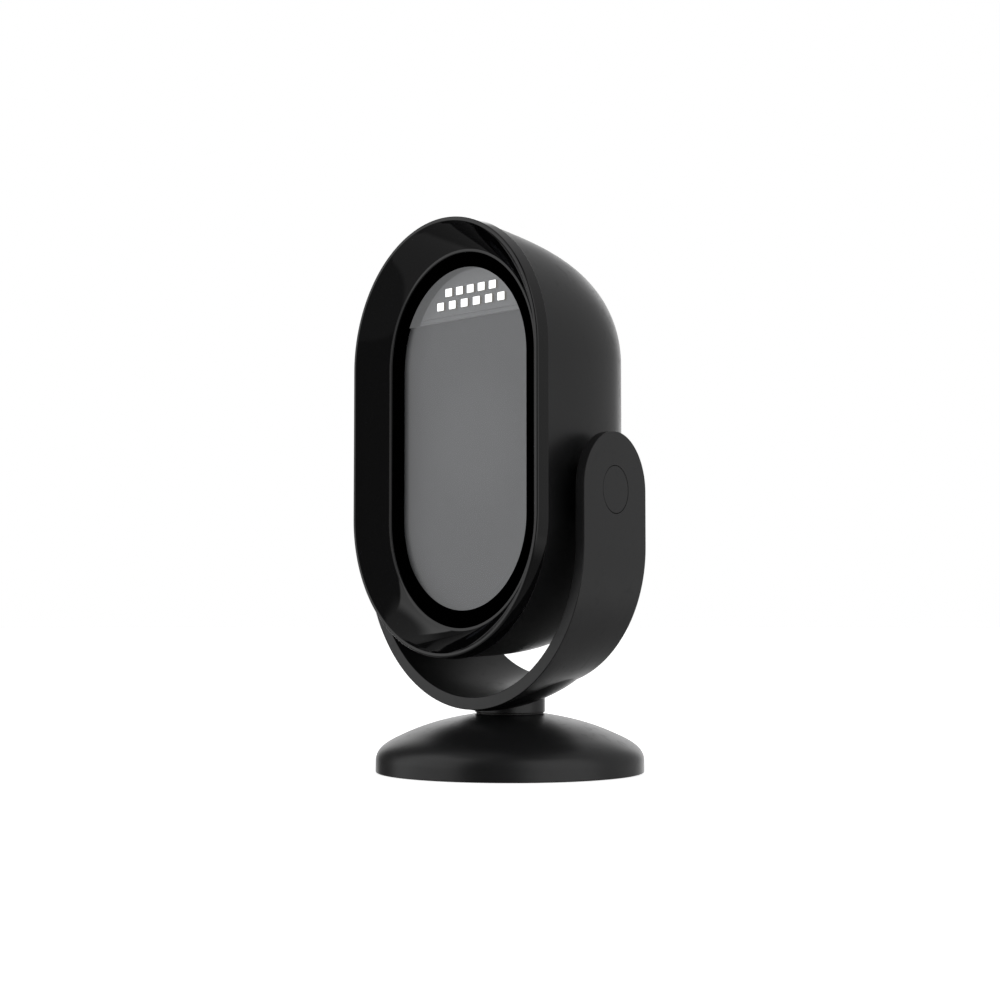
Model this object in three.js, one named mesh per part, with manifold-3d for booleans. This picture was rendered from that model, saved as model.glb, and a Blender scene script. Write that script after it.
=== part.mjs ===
// A hands-free presentation scanner: a stadium-shaped head that tilts in a U-shaped yoke,
// which swivels on a round weighted foot. Millimetres, +Z up, the front faces -Y.
// The origin is the centre of the foot, on the table.

import * as THREE from 'three';
import { mergeVertices } from 'three/addons/utils/BufferGeometryUtils.js';
import Module from 'manifold-3d';

const wasm = await Module();
wasm.setup();

// ---------------------------------------------------------------- driving dimensions

const GAP = 0.3; // usual clearance between neighbours
const WELD = 1e-4; // vertices closer than this are one
const AROUND = 36; // facets round a large circle, a multiple of four
const FAR = 80; // past every surface

// foot
const FOOT_RADIUS = 45;
const FOOT_UNDERSIDE = 0.15; // height of the foot cover's lower edge
const FOOT_WALL = 2.4;
const FOOT_TOP = 19.4; // where the dome meets the neck
const PLATE_RADIUS = 41;
const PLATE_TOP = 2.6;
const FOOT_RING = { inner: 35.5, outer: 39.5, top: 1.7 };
const WEIGHT = { inner: 15, outer: 37.5, bottom: 2.9, top: 8.1 };
const BASE_SCREW = { circle: 27, shank: 1.4, head: 3.2, boss: 3.6 };

// swivel, on the foot's axis
const NECK_RADIUS = 11.8;
const NECK_BOTTOM = 20.1;
const SPIGOT = { radius: 8, end: 8.6 };
const HUB = { bore: 9.4, outer: 12.4, bottom: 9.5 };
const STOP_RADIUS = 13.5; // reach of the stop washer's tab
const STOP_HALF_WIDTH = 1.5; // of the tab and of the peg that it meets
const SWIVEL_SHANK = 2.5;

// yoke
const TAPER = THREE.MathUtils.degToRad(13.4); // the band and its arms lean in towards the back
const BAND_RADIUS = 50.3; // outer radius at the pivot plane
const BAND_HALF_WIDTH = 18.3; // along Y
const BAND_THICKNESS = { front: 4.1, back: 3.1 }; // along the radius
const BAND_CENTRE = 75.9; // height of the U's centre at its front edge
const BAND_SAG = 0.033; // fall of that centre per millimetre of depth
const BAND_CHAMFER = 0.3;
const ARM_EXTRA = 0.4; // the arms' ends stand this much taller than half circles
const SADDLE = { start: 11.5, reach: 12.5, low: 23.7, lean: 0.25, stretch: 1.6 }; // flare over the neck
const PIVOT_HEIGHT = 92.5;

// tilt pivot, distances from the mid plane along X
const HUB_FACE = 44.6;
const COUNTERBORE_FLOOR = 45.8;
const CAP = { radius: 7.6, thickness: 1.3, recess: 1.6 };
const PIVOT_SHANK = 2;
const PIVOT_BORE = 3.8;
const BOSS = { radius: 8, root: 35.8, face: 43.6 };
const HUB_RADIUS = 9;

// head; its section is a stadium whose radius changes along Y
const HEAD_HALF_STRAIGHT = 25.7;
const HEAD_CENTRE = 111.1;
const HEAD_RADIUS = 47; // at the front plane
const HEAD_FRONT = -30.9;
const HEAD_BACK = 31.9;
const HEAD_DRAFT = 0.146; // loss of radius per millimetre of depth
const HEAD_DROP = 0.128; // fall of the lower arc's centre per millimetre of depth
const HEAD_SQUARENESS = { depth: 3.878, radius: 3.148 };
const SHELL_WALL = 2.2;
const SEAM = -26; // between the bezel and the rear shell
const BEZEL_SIDE = 46.75; // radius of the bezel's straight outer side

// window
const LIP_RADIUS = 36;
const LIP = -22.6;
const MASK_RADIUS = 31.4;
const WINDOW_RADIUS = 38.6;
const WINDOW_FRONT = -21.4;
const PANEL_RADIUS = 37;

// illumination
const LED_PLANE = -17; // front face of the LED board
const LED_BOARD_BOTTOM = 40.9; // its straight edge, above the stadium's centre
const LED_SIZE = { width: 3.5, height: 2.8, depth: 0.9 };
const LED_ROWS = [
  { count: 5, pitch: 5.55, height: 50.4 },
  { count: 6, pitch: 6.15, height: 46 },
];

// inside the head, heights from the stadium's centre
const SOCKET = { halfWidth: 6.6, bottom: -50, top: -37.5, front: 12, back: 26 };
const POSTS = [[-23, 46], [23, 46], [-23, -46], [23, -46]]; // of the optics frame
const BOARD_POSTS = [[-21, 24], [21, 24]];
const POST_FRONT = -12.6;
const CAMERA = { half: 11, front: -12, back: 3 };
const BOARD_FRONT = 12;

// ---------------------------------------------------------------- materials

const plastic = (color, roughness) => new THREE.MeshStandardMaterial({ color, roughness });
const metal = (color, roughness) => new THREE.MeshStandardMaterial({ color, roughness, metalness: 1 });

const MATT_BLACK = plastic(0x26272a, 0.55);
const GLOSS_BLACK = plastic(0x0c0c0e, 0.08);
const MASK_BLACK = plastic(0x050505, 0.3);
const FILTER_GREY = plastic(0x707173, 0.5);
const CLEAR = plastic(0xcfd4d8, 0.05);
CLEAR.transparent = true;
CLEAR.opacity = 0.3;
const BOARD = plastic(0x86878a, 0.5);
const CIRCUIT_GREEN = plastic(0x1d5a35, 0.5);
const LED_WHITE = plastic(0xfafafa, 0.4);
const RUBBER = plastic(0x151515, 0.9);
const BUSH_BLACK = plastic(0x101011, 0.5);
const STEEL = metal(0x9a9c9f, 0.35);
const BRASS = metal(0xb59a55, 0.35);
const LENS = plastic(0x10131c, 0.05);
const RIBBON = plastic(0xc9c4b4, 0.6);

// ---------------------------------------------------------------- solids

// One closed manifold-3d solid from a closed three.js geometry.
function solid(geometry) {
  const bare = geometry.clone();
  bare.deleteAttribute('normal');
  bare.deleteAttribute('uv');
  const welded = mergeVertices(bare, WELD);
  const faces = [];
  for (let i = 0; i < welded.index.count; i += 3) {
    const corners = [0, 1, 2].map((k) => welded.index.getX(i + k));
    if (new Set(corners).size === 3) faces.push(corners);
  }
  const make = (turn) => new wasm.Manifold(new wasm.Mesh({
    numProp: 3,
    vertProperties: new Float32Array(welded.attributes.position.array),
    triVerts: new Uint32Array(faces.flatMap((corners) => turn(corners))),
  }));
  const made = make((corners) => corners);
  return made.volume() > 0 ? made : make(([a, b, c]) => [a, c, b]);
}

function geometryOf(body) {
  const { numProp, vertProperties, triVerts } = body.getMesh();
  const geometry = new THREE.BufferGeometry();
  geometry.setAttribute('position', new THREE.BufferAttribute(new Float32Array(vertProperties), numProp));
  geometry.setIndex(new THREE.BufferAttribute(new Uint32Array(triVerts), 1));
  geometry.computeVertexNormals();
  return geometry;
}

function piece(name, body, material, place = [0, 0, 0]) {
  const mesh = new THREE.Mesh(geometryOf(body), material);
  mesh.name = name;
  mesh.position.set(...place);
  return mesh;
}

const join = (first, ...others) => others.reduce((made, other) => made.add(other), first);
const cut = (first, ...others) => others.reduce((made, other) => made.subtract(other), first);

// A box from its lowest to its highest corner.
function box([x0, y0, z0], [x1, y1, z1]) {
  const geometry = new THREE.BoxGeometry(x1 - x0, y1 - y0, z1 - z0);
  return solid(geometry.translate((x0 + x1) / 2, (y0 + y1) / 2, (z0 + z1) / 2));
}

// A solid turned about +Z from an outline of [radius, height] points that ends on the axis or closes.
function turned(outline, segments = AROUND) {
  const points = outline.map(([radius, height]) => new THREE.Vector2(radius, height));
  return solid(new THREE.LatheGeometry(points, segments).rotateX(Math.PI / 2));
}

const rod = (radius, bottom, top, segments = 20) =>
  turned([[0, bottom], [radius, bottom], [radius, top], [0, top]], segments);

const tube = (inner, outer, bottom, top, segments = 24) =>
  turned([[inner, bottom], [outer, bottom], [outer, top], [inner, top], [inner, bottom]], segments);

const alongX = (body) => body.rotate([0, 90, 0]);
const alongY = (body) => body.rotate([-90, 0, 0]);

// A screw with its tip at height 0, its head on top and a cross recess in the head.
function screw(shank, length, head, headHeight) {
  const top = length + headHeight;
  const body = join(rod(shank, 0, top, 12), rod(head, length, top, 12));
  const floor = length + headHeight * 0.55;
  const arm = head * 0.55;
  const half = head * 0.13;
  const slot = box([-arm, -half, floor], [arm, half, top + 1]);
  return cut(body, slot, slot.rotate([0, 0, 90]));
}

// A solid whose section across Y is a stadium, from an outline of [radius, depth] points.
// The polygon is drawn round the true arcs, so its flats touch them.
// The lower arc may drop towards the back.
function stadium(outline, drop = 0, segments = AROUND) {
  const step = (2 * Math.PI) / segments;
  const points = outline.map(([radius, depth]) => new THREE.Vector2(radius / Math.cos(step / 2), depth));
  const geometry = new THREE.LatheGeometry(points, segments, step / 2);
  const position = geometry.attributes.position;
  for (let i = 0; i < position.count; i++) {
    const angle = step / 2 + step * Math.floor(i / points.length);
    const lower = HEAD_HALF_STRAIGHT + drop * (position.getY(i) - HEAD_FRONT);
    const shift = Math.cos(angle) > 0 ? HEAD_HALF_STRAIGHT : -lower;
    position.setZ(i, position.getZ(i) + shift);
  }
  return solid(geometry);
}

const stadiumPlate = (radius, front, back) =>
  stadium([[0, front], [radius, front], [radius, back], [0, back]]);

const stadiumRing = (inner, outer, front, back) =>
  stadium([[inner, front], [outer, front], [outer, back], [inner, back], [inner, front]]);

// ---------------------------------------------------------------- foot

// The dome runs from the rounded rim up to the neck and grows flatter all the way.
function domeOutline(inset, low, rimSteps, slopeSteps) {
  const rim = new THREE.CubicBezierCurve(
    new THREE.Vector2(FOOT_RADIUS - inset, 4),
    new THREE.Vector2(FOOT_RADIUS - inset, 8 - inset * 0.3),
    new THREE.Vector2(41.5 - inset, 10.2 - inset * 0.8),
    new THREE.Vector2(36, 12.6 - inset),
  );
  const slope = new THREE.CubicBezierCurve(
    new THREE.Vector2(36, 12.6 - inset),
    new THREE.Vector2(27.5, 16.55 - inset),
    new THREE.Vector2(20, 18.2 - inset),
    new THREE.Vector2(12.5, FOOT_TOP - inset),
  );
  const points = [...rim.getPoints(rimSteps), ...slope.getPoints(slopeSteps).slice(1)];
  return [[FOOT_RADIUS - inset, low], ...points.map(({ x, y }) => [x, y])];
}

function baseShell() {
  const mouth = PLATE_RADIUS + GAP;
  const ledge = PLATE_TOP + GAP;
  const cover = turned([
    [mouth, FOOT_UNDERSIDE],
    [FOOT_RADIUS - 0.5, FOOT_UNDERSIDE],
    ...domeOutline(0, FOOT_UNDERSIDE + 0.5, 4, 5),
    [HUB.bore, FOOT_TOP],
    [HUB.bore, FOOT_TOP - FOOT_WALL],
    ...domeOutline(FOOT_WALL, ledge, 2, 3).reverse(),
    [mouth, ledge],
    [mouth, FOOT_UNDERSIDE],
  ]);
  const hub = tube(HUB.bore, HUB.outer, HUB.bottom, FOOT_TOP - 1, AROUND);
  const boss = tube(BASE_SCREW.shank + 0.2, BASE_SCREW.boss, ledge, 13.6, 16);
  const bosses = baseScrewPlaces().map(([x, y]) => boss.translate([x, y, 0]));
  // The peg hangs from the hub at the back and ends the stop washer's travel.
  const peg = box([-STOP_HALF_WIDTH, HUB.outer - 1, 7], [STOP_HALF_WIDTH, STOP_RADIUS + 0.3, 12]);
  return join(cover, hub, ...bosses, peg);
}

const baseScrewPlaces = () => [0, 1, 2].map((i) => {
  const angle = Math.PI / 2 + (i * 2 * Math.PI) / 3;
  return [BASE_SCREW.circle * Math.cos(angle), BASE_SCREW.circle * Math.sin(angle)];
});

function baseWeight() {
  const ring = tube(WEIGHT.inner, WEIGHT.outer, WEIGHT.bottom, WEIGHT.top, AROUND);
  const hole = rod(BASE_SCREW.boss + 0.5, 0, 20, 16);
  return cut(ring, ...baseScrewPlaces().map(([x, y]) => hole.translate([x, y, 0])));
}

function basePlate() {
  const plate = rod(PLATE_RADIUS, FOOT_UNDERSIDE, PLATE_TOP, AROUND);
  const groove = tube(FOOT_RING.inner - GAP, FOOT_RING.outer + GAP, 0, FOOT_RING.top + 0.1, AROUND);
  const hole = join(rod(BASE_SCREW.shank + 0.3, 0, 5, 16), rod(BASE_SCREW.head + 0.2, 0, 1.9, 16));
  return cut(plate, groove, ...baseScrewPlaces().map(([x, y]) => hole.translate([x, y, 0])));
}

function baseBody() {
  const group = new THREE.Group();
  group.add(
    piece('base_shell', baseShell(), MATT_BLACK),
    piece('base_weight', baseWeight(), STEEL),
    piece('base_plate', basePlate(), MATT_BLACK),
    piece('foot_ring', tube(FOOT_RING.inner, FOOT_RING.outer, 0, FOOT_RING.top, AROUND), RUBBER),
    piece('swivel_bushing', swivelBushing(), BUSH_BLACK),
  );
  const baseScrew = screw(BASE_SCREW.shank, 8, BASE_SCREW.head, 1).rotate([180, 0, 0]);
  baseScrewPlaces().forEach(([x, y], i) => {
    group.add(piece(`base_screw_${i + 1}`, baseScrew, STEEL, [x, y, 9.9]));
  });
  return group;
}

// ---------------------------------------------------------------- swivel

// The bush lines the hub, and its flange is the dark line between the foot and the neck.
function swivelBushing() {
  const inner = SPIGOT.radius + 0.25;
  const outer = HUB.bore - 0.15;
  const flange = NECK_RADIUS - 0.5;
  const seat = FOOT_TOP + 0.05;
  const top = NECK_BOTTOM - 0.05;
  const sleeve = [[inner, HUB.bottom], [outer, HUB.bottom], [outer, seat]];
  return turned([...sleeve, [flange, seat], [flange, top], [inner, top], sleeve[0]], 32);
}

// The tab points to the front at rest and meets the peg a little short of a half turn each way.
function stopWasher() {
  const top = SPIGOT.end - 0.1;
  const bottom = top - 0.8;
  const tab = box([-STOP_HALF_WIDTH, -STOP_RADIUS, bottom], [STOP_HALF_WIDTH, -7, top]);
  return join(tube(SWIVEL_SHANK + 0.3, HUB.outer - 2, bottom, top), tab);
}

// ---------------------------------------------------------------- yoke

// A point [radius, depth] on the band's section, from its depth and its distance in from the surface.
const bandPoint = (y, inward) => [BAND_RADIUS - y * Math.tan(TAPER) - inward, y];

// The section is a wedge with chamfered corners, thicker at the front. Its edges are square to Y.
function bandSection() {
  const half = BAND_HALF_WIDTH;
  const c = BAND_CHAMFER;
  const { front, back } = BAND_THICKNESS;
  const outerSide = [[-half, c], [-half + c, 0], [half - c, 0], [half, c]];
  const innerSide = [[half, back - c], [half - c, back], [-half + c, front], [-half, front - c]];
  return [...outerSide, ...innerSide].map(([y, inward]) => bandPoint(y, inward));
}

// Puts a body from the Y axis onto the U's axis, which falls towards the back.
function onBandAxis(body) {
  const middle = BAND_CENTRE - BAND_SAG * BAND_HALF_WIDTH;
  return body.transform([1, 0, 0, 0, 0, 1, -BAND_SAG, 0, 0, 0, 1, 0, 0, 0, middle, 1]);
}

function lowerHalf() {
  const section = bandSection();
  const ring = alongY(turned([...section, section[0]], AROUND + 12));
  return onBandAxis(ring.intersect(box([-FAR, -FAR, -FAR], [FAR, FAR, 0])));
}

// The right arm: the band's section run straight up, with its end rounded about the pivot.
function rightArm() {
  const section = new THREE.Shape(bandSection().map((point) => new THREE.Vector2(...point)));
  const bottom = BAND_CENTRE - 2;
  const half = BAND_HALF_WIDTH;
  const depth = PIVOT_HEIGHT + half + 2 * ARM_EXTRA - bottom;
  const slab = solid(new THREE.ExtrudeGeometry(section, { depth, bevelEnabled: false }));
  const c = BAND_CHAMFER;
  const reach = 12;
  const end = turned([[0, -reach], [half, -reach], [half, -c], [half - c, 0], [0, 0]], AROUND + 12);
  const leaning = alongX(end)
    .scale([1, 1, 1 + ARM_EXTRA / half])
    .transform([1, 0, 0, 0, -Math.tan(TAPER), 1, 0, 0, 0, 0, 1, 0, BAND_RADIUS, 0, PIVOT_HEIGHT, 1]);
  const straight = box([0, -FAR, bottom], [FAR, FAR, PIVOT_HEIGHT]);
  return slab.translate([0, 0, bottom]).intersect(join(leaning, straight));
}

const mirrored = (body) => body.mirror([1, 0, 0]);
const bothSides = (body) => join(body, mirrored(body));

const atPivot = (body) => alongX(body).translate([0, 0, PIVOT_HEIGHT]);

// A disc that leans like the arm's surface, between two distances from it, the first one inwards.
function leaningDisc(radius, depth, lift) {
  const disc = alongX(rod(radius, -depth, lift, 32)).rotate([0, 0, THREE.MathUtils.radToDeg(TAPER)]);
  return disc.translate([BAND_RADIUS, 0, PIVOT_HEIGHT]);
}

// The space inside the U, a little outside the band's inner surface.
function insideOfU() {
  const overlap = 0.4;
  const [frontRadius, front] = bandPoint(-BAND_HALF_WIDTH, BAND_THICKNESS.front - overlap);
  const [backRadius, back] = bandPoint(BAND_HALF_WIDTH, BAND_THICKNESS.back - overlap);
  return onBandAxis(alongY(turned([[0, front], [frontRadius, front], [backRadius, back], [0, back]], 48)));
}

// The flare that runs from the neck into the band's underside. It rises and lengthens to the back.
function saddle() {
  const rise = (out) => SADDLE.low + 0.12 * out + 0.046 * out * out;
  const outs = [0, 0.2, 0.4, 0.6, 0.8, 1].map((share) => share * SADDLE.reach);
  const flare = outs.map((out) => [SADDLE.start + out, rise(out)]);
  const bowl = turned([[0, SADDLE.low], ...flare, [0, rise(SADDLE.reach)]]);
  const leaning = bowl.warp((point) => {
    if (point[1] > 0) point[1] *= SADDLE.stretch;
    point[2] += SADDLE.lean * point[1];
  });
  const width = BAND_HALF_WIDTH - BAND_CHAMFER - 0.1;
  return cut(leaning.intersect(box([-FAR, -width, 0], [FAR, width, FAR])), insideOfU());
}

function yokeBand() {
  const neck = cut(rod(NECK_RADIUS, NECK_BOTTOM, 36, 32), insideOfU());
  const spigot = rod(SPIGOT.radius, SPIGOT.end, NECK_BOTTOM + 1, 24);
  const hub = atPivot(rod(HUB_RADIUS, HUB_FACE, FAR, 24)).intersect(leaningDisc(20, 12, -1));
  const band = join(lowerHalf(), neck, saddle(), spigot, bothSides(join(rightArm(), hub)));
  const faced = atPivot(rod(HUB_RADIUS + 0.4, 30, HUB_FACE, 24));
  const counterbore = atPivot(rod(5.5, COUNTERBORE_FLOOR, FAR));
  const bore = atPivot(rod(PIVOT_BORE, 30, FAR));
  const recess = leaningDisc(CAP.radius + 0.2, CAP.recess, 5);
  const pilot = rod(SWIVEL_SHANK + 0.15, 0, 17, 16);
  return cut(band, bothSides(join(faced, counterbore, bore, recess)), pilot);
}

function pivotBushing() {
  const seat = COUNTERBORE_FLOOR + 0.05;
  const inner = PIVOT_SHANK + 0.15;
  const sleeve = tube(inner, PIVOT_BORE - 0.15, HUB_FACE, seat + 0.2);
  return alongX(join(sleeve, tube(inner, 5.2, seat, seat + 0.4)));
}

function yokeBody() {
  const group = new THREE.Group();
  const pivot = [0, 0, PIVOT_HEIGHT];
  const cap = leaningDisc(CAP.radius, CAP.thickness, 0);
  const frictionWasher = tube(SPIGOT.radius + GAP, HUB.outer - 1.2, SPIGOT.end, HUB.bottom - 0.1);
  group.add(
    piece('yoke_band', yokeBand(), MATT_BLACK),
    piece('friction_washer', frictionWasher, BUSH_BLACK),
    piece('stop_washer', stopWasher(), STEEL),
    piece('spring_washer', tube(SWIVEL_SHANK + 0.3, 6.5, 6.95, 7.6), STEEL),
    piece('swivel_screw', screw(SWIVEL_SHANK, 9.2, 5, 2.6).rotate([180, 0, 0]), STEEL, [0, 0, 16]),
    piece('pivot_cap_right', cap, MATT_BLACK),
    piece('pivot_cap_left', mirrored(cap), MATT_BLACK),
    piece('pivot_bushing_right', pivotBushing(), BUSH_BLACK, pivot),
    piece('pivot_bushing_left', mirrored(pivotBushing()), BUSH_BLACK, pivot),
  );
  return group;
}

// ---------------------------------------------------------------- head

// Radius of the head's stadium section at a depth, for the outer surface or one inset from it.
function headRadius(y, inset = 0) {
  const share = Math.min(1, Math.max(0, (y - HEAD_FRONT) / (HEAD_BACK - inset - HEAD_FRONT)));
  const side = HEAD_RADIUS - inset - HEAD_DRAFT * (y - HEAD_FRONT);
  return side * (1 - share ** HEAD_SQUARENESS.depth) ** (1 / HEAD_SQUARENESS.radius);
}

// Outline from the seam back to the axis, with its points closer together round the back.
function headOutline(inset, steps) {
  const start = SEAM + 0.15;
  const back = HEAD_BACK - inset;
  const points = [];
  for (let i = 0; i <= steps; i++) {
    const share = i / steps;
    const y = start + (back - start) * (1 - (1 - share) ** 1.9);
    points.push([i === steps ? 0 : headRadius(y, inset), y]);
  }
  return points;
}

function frontBezel() {
  const funnel = new THREE.QuadraticBezierCurve(
    new THREE.Vector2(45.2, HEAD_FRONT + 0.4),
    new THREE.Vector2(40.8, -25),
    new THREE.Vector2(LIP_RADIUS + 0.2, LIP - 0.1),
  );
  const recess = WINDOW_RADIUS + GAP;
  const spigotEnd = -20; // of the rim that enters the rear shell
  const rimEnd = -18.6; // of the rim round the window
  const outline = [
    [BEZEL_SIDE, SEAM],
    [headRadius(SEAM) - 2.4, SEAM],
    [headRadius(spigotEnd) - 2.6, spigotEnd],
    [headRadius(spigotEnd) - 4, spigotEnd],
    [headRadius(SEAM) - 4, SEAM],
    [recess + 1.5, LIP - 0.6],
    [recess + 1.5, rimEnd],
    [recess, rimEnd],
    [recess, WINDOW_FRONT - 0.2],
    [LIP_RADIUS, WINDOW_FRONT - 0.2],
    [LIP_RADIUS, LIP],
    ...funnel.getPoints(6).reverse().map(({ x, y }) => [x, y]),
    [45.7, HEAD_FRONT + 0.05],
    [46.25, HEAD_FRONT],
    [BEZEL_SIDE - 0.1, HEAD_FRONT + 0.3],
    [BEZEL_SIDE, HEAD_FRONT + 0.8],
  ];
  return stadium([...outline, outline[0]], HEAD_DROP);
}

function rearShell() {
  const outline = [...headOutline(0, 12), ...headOutline(SHELL_WALL, 7).reverse()];
  const skin = stadium([...outline, outline[0]], HEAD_DROP);
  const filled = stadium([[0, SEAM], ...headOutline(SHELL_WALL / 2, 9)], HEAD_DROP);
  const post = ([x, z], front, bore) =>
    alongY(cut(rod(3, front, 40, 12), rod(bore, front - 1, front + 8, 8))).translate([x, 0, z]);
  const longPosts = POSTS.map((place) => post(place, POST_FRONT, 1.3));
  const shortPosts = BOARD_POSTS.map((place) => post(place, BOARD_FRONT + 2, 1.1));
  const posts = join(...longPosts, ...shortPosts).intersect(filled);
  const lowered = (body) => atPivot(body).translate([0, 0, -HEAD_CENTRE]);
  const boss = lowered(rod(BOSS.radius, BOSS.root, BOSS.face, 24));
  const bore = lowered(rod(3.3, 30, FAR, 16));
  const side = SOCKET.halfWidth + GAP;
  const socketHole = box([-side, 10, SOCKET.bottom - GAP], [side, 40, SOCKET.top + GAP]);
  const slots = [-2, -1, 0, 1, 2].map((i) => box([-5, 20, -20 + i * 3], [5, 40, -18.8 + i * 3]));
  return cut(join(skin, posts, bothSides(boss)), bothSides(bore), socketHole, ...slots);
}

function ledBoard() {
  const plate = stadiumPlate(PANEL_RADIUS, LED_PLANE, LED_PLANE + 1);
  return plate.intersect(box([-50, -30, LED_BOARD_BOTTOM], [50, 0, 80]));
}

function leds() {
  const { width, height, depth } = LED_SIZE;
  const body = box([-width / 2, -depth, -height / 2], [width / 2, 0, height / 2]);
  const places = LED_ROWS.flatMap(({ count, pitch, height: z }) =>
    Array.from({ length: count }, (_, i) => [(i - (count - 1) / 2) * pitch, LED_PLANE - 0.02, z]));
  return places.map((place, i) => piece(`led_${String(i + 1).padStart(2, '0')}`, body, LED_WHITE, place));
}

function opticsFrame() {
  const plate = stadiumPlate(PANEL_RADIUS + 0.6, -14.8, POST_FRONT - 0.1);
  const around = CAMERA.half + GAP;
  const window = box([-around, -20, -around], [around, 0, around]);
  const hole = alongY(rod(1.6, -20, 0, 12));
  const recess = alongY(rod(2.9, -20, -13.6, 16));
  const holes = POSTS.flatMap(([x, z]) => [hole.translate([x, 0, z]), recess.translate([x, 0, z])]);
  return cut(plate, window, ...holes, cableSlot());
}

// The opening that the flat cable passes through, in the filter panel and the optics frame.
const cableSlot = () => box([-6, -20, 53], [6, 0, 56]);

function filterPanel() {
  const front = LED_PLANE + 1.1; // just behind the LED board
  return cut(stadiumPlate(PANEL_RADIUS, front, front + 0.8), cableSlot());
}

function cameraHousing() {
  const { half, front, back } = CAMERA;
  const block = box([-half, front, -half], [half, back, half]);
  return cut(block, alongY(rod(6.3, front - 1, front + 9, 32)));
}

function cameraLens() {
  const back = CAMERA.front + 8.7;
  const outline = [[0, -13.2], [2.2, -13.1], [4, -12.6], [4.3, -13.4], [6, -13.4], [6, back], [0, back]];
  return alongY(turned(outline, 32));
}

// A flat cable from behind the LED board back and down to the main board.
function ribbonCable() {
  const section = new THREE.Shape();
  const halfWidth = 5;
  const halfThickness = 0.2;
  section.moveTo(-halfWidth, -halfThickness);
  section.lineTo(halfWidth, -halfThickness);
  section.lineTo(halfWidth, halfThickness);
  section.lineTo(-halfWidth, halfThickness);
  section.closePath();
  const path = new THREE.CubicBezierCurve3(
    new THREE.Vector3(0, -15.8, 54.5),
    new THREE.Vector3(0, -2, 54.5),
    new THREE.Vector3(0, 8, 52),
    new THREE.Vector3(0, 11.5, 36),
  );
  return solid(new THREE.ExtrudeGeometry(section, { steps: 14, extrudePath: path, bevelEnabled: false }));
}

function cableSocket() {
  const { halfWidth, bottom, top, front, back } = SOCKET;
  const block = box([-halfWidth, front, bottom], [halfWidth, back, top]);
  const mouth = box([-halfWidth + 1.2, front + 3, bottom + 2.4], [halfWidth - 1.2, back + 1, top - 1.2]);
  const latch = box([-2, front + 3, bottom + 1.1], [2, back + 1, bottom + 3]);
  return cut(block, mouth, latch);
}

function headBody() {
  const group = new THREE.Group();
  const rise = HEAD_CENTRE - PIVOT_HEIGHT;
  group.position.z = PIVOT_HEIGHT;
  const centred = (name, body, material) => piece(name, body, material, [0, 0, rise]);
  const boardHole = alongY(rod(1.4, 0, 20, 12));
  const boardHoles = BOARD_POSTS.map(([x, z]) => boardHole.translate([x, 0, z]));
  const mainBoard = cut(box([-25, BOARD_FRONT, -31], [25, BOARD_FRONT + 1.6, 40]), ...boardHoles);
  const mask = stadiumRing(MASK_RADIUS, WINDOW_RADIUS, WINDOW_FRONT, WINDOW_FRONT + 0.35);
  const pane = stadiumPlate(WINDOW_RADIUS, WINDOW_FRONT + 0.4, WINDOW_FRONT + 2.2);
  const sensorFront = CAMERA.back + 0.1;
  const sensorBoard = box([-14, sensorFront, -14], [14, sensorFront + 1.6, 14]);
  const processor = box([-8, BOARD_FRONT - 1.5, -6], [8, BOARD_FRONT - 0.05, 10]);
  const beeper = alongY(rod(6, BOARD_FRONT + 1.7, BOARD_FRONT + 7, 24)).translate([0, 0, -20]);
  group.add(
    centred('front_bezel', frontBezel(), GLOSS_BLACK),
    centred('rear_shell', rearShell(), MATT_BLACK),
    centred('window_mask', mask, MASK_BLACK),
    centred('window_pane', pane, CLEAR),
    centred('led_board', ledBoard(), BOARD),
    centred('filter_panel', filterPanel(), FILTER_GREY),
    centred('optics_frame', opticsFrame(), MATT_BLACK),
    centred('camera_housing', cameraHousing(), MATT_BLACK),
    centred('camera_lens', cameraLens(), LENS),
    centred('sensor_board', sensorBoard, CIRCUIT_GREEN),
    centred('main_board', mainBoard, CIRCUIT_GREEN),
    centred('processor', processor, MASK_BLACK),
    centred('beeper', beeper, MASK_BLACK),
    centred('cable_socket', cableSocket(), MASK_BLACK),
    centred('ribbon_cable', ribbonCable(), RIBBON),
  );
  leds().forEach((led) => {
    led.position.z += rise;
    group.add(led);
  });
  const frameScrew = alongY(screw(1.1, 8, 2.6, 0.9).rotate([180, 0, 0]));
  POSTS.forEach(([x, z], i) => {
    group.add(piece(`frame_screw_${i + 1}`, frameScrew, STEEL, [x, POST_FRONT + 6.9, z + rise]));
  });
  const insert = alongX(tube(PIVOT_SHANK + 0.15, 3.1, 36.2, 43.2, 24));
  const washer = alongX(tube(PIVOT_SHANK + 0.3, 7.5, 43.8, 44.4, 24));
  const pivotScrew = alongX(screw(PIVOT_SHANK, 11.3, 4, 1.2)).translate([35, 0, 0]);
  const sides = [['right', (body) => body], ['left', mirrored]];
  for (const [side, facing] of sides) {
    group.add(
      piece(`pivot_insert_${side}`, facing(insert), BRASS),
      piece(`pivot_washer_${side}`, facing(washer), BUSH_BLACK),
      piece(`pivot_screw_${side}`, facing(pivotScrew), STEEL),
    );
  }
  return group;
}

// ---------------------------------------------------------------- the whole object

const scanner = new THREE.Group();
scanner.add(baseBody(), yokeBody(), headBody());

export default scanner;
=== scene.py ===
"""A hands-free presentation scanner: its surfaces and materials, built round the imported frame.

Outlines are drawn in millimetres, +Z up with the front towards -Y, and scaled to metres as each mesh is made.
"""

import math

import bmesh
import bpy
from mathutils import Matrix, Vector


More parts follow.
